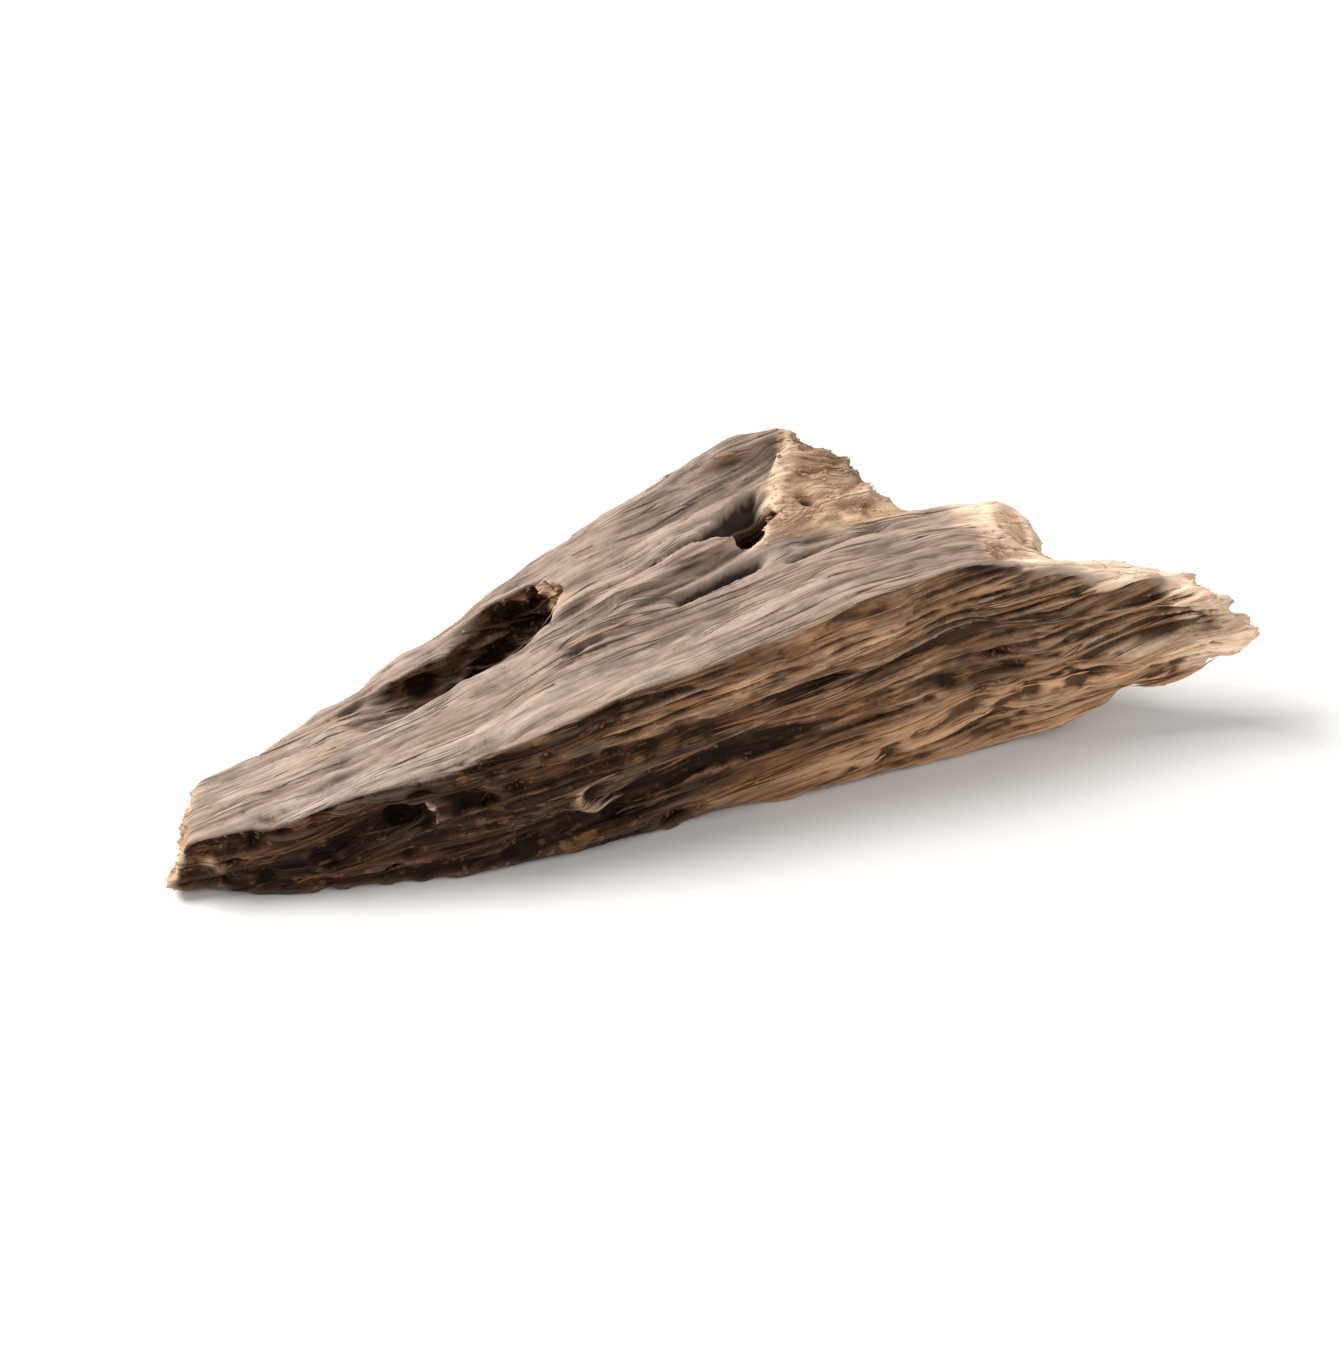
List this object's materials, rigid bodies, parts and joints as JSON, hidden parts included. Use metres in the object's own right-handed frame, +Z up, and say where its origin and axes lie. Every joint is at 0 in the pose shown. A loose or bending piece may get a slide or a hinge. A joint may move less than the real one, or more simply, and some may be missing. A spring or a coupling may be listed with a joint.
{
  "type": "agarwood chip",
  "caption": "Split, weathered wedge of agarwood that lies on its flat split face: a pale ridged top, a dark fibrous front, stepped broken ends and a thin torn tip.",
  "frame": {"origin": "middle of the bounding box's underside, on the surface that the chip lies on", "axes": "+X along the grain towards the thin tip, +Y towards the chip's high back, +Z up"},
  "size_m": [0.0702, 0.022, 0.0194],
  "materials": {
    "agarwood": "matte, weathered, split along the grain"
  },
  "bodies": {
    "root": {"agarwood_chip": "agarwood"}
  },
  "joints": []
}
